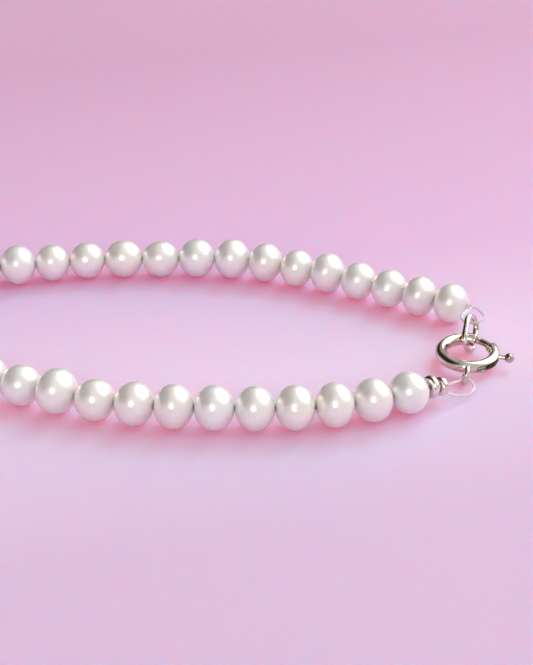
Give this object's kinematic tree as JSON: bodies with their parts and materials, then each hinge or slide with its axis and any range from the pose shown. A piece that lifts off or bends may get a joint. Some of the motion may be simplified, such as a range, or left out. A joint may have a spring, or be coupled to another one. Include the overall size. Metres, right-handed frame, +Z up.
{
  "type": "pearl bracelet",
  "caption": "Single-strand bracelet of near-round pearls on a clear thread, closed by a spring ring clasp with a sprung trigger; it lies flat as an open loop.",
  "frame": {"origin": "middle of the bracelet's footprint, on the surface that it lies on", "axes": "+X towards the clasp's trigger, along the loop's longer side; +Y from the clasp's crimped end to its other end; +Z up"},
  "size_m": [0.0786, 0.0438, 0.0053],
  "materials": {
    "pearl": "white nacre, lustrous with a faint pink overtone",
    "thread": "clear nylon monofilament",
    "steel": "polished silver-coloured steel"
  },
  "bodies": {
    "bracelet": {"pearl_01": "pearl", "pearl_02": "pearl", "pearl_03": "pearl", "pearl_04": "pearl", "pearl_05": "pearl", "pearl_06": "pearl", "pearl_07": "pearl", "pearl_08": "pearl", "pearl_09": "pearl", "pearl_10": "pearl", "pearl_11": "pearl", "pearl_12": "pearl", "pearl_13": "pearl", "pearl_14": "pearl", "pearl_15": "pearl", "pearl_16": "pearl", "pearl_17": "pearl", "pearl_18": "pearl", "pearl_19": "pearl", "pearl_20": "pearl", "pearl_21": "pearl", "pearl_22": "pearl", "pearl_23": "pearl", "pearl_24": "pearl", "pearl_25": "pearl", "pearl_26": "pearl", "pearl_27": "pearl", "pearl_28": "pearl", "pearl_29": "pearl", "pearl_30": "pearl", "pearl_31": "pearl", "pearl_32": "pearl", "pearl_33": "pearl", "pearl_34": "pearl", "pearl_35": "pearl", "thread": "thread", "crimp_1": "steel", "crimp_2": "steel", "clasp_ring": "steel", "jump_link": "steel"},
    "bolt": {"clasp_bolt": "steel"}
  },
  "joints": [
    {"name": "trigger", "type": "hinge", "parent": "bracelet", "child": "bolt", "pos_m": [0.03395, -0.00475, 0.00151], "axis": [0, 0.061, -0.9981], "range_deg": [0, 60], "stiffness_Nm_per_rad": 0.004}
  ]
}
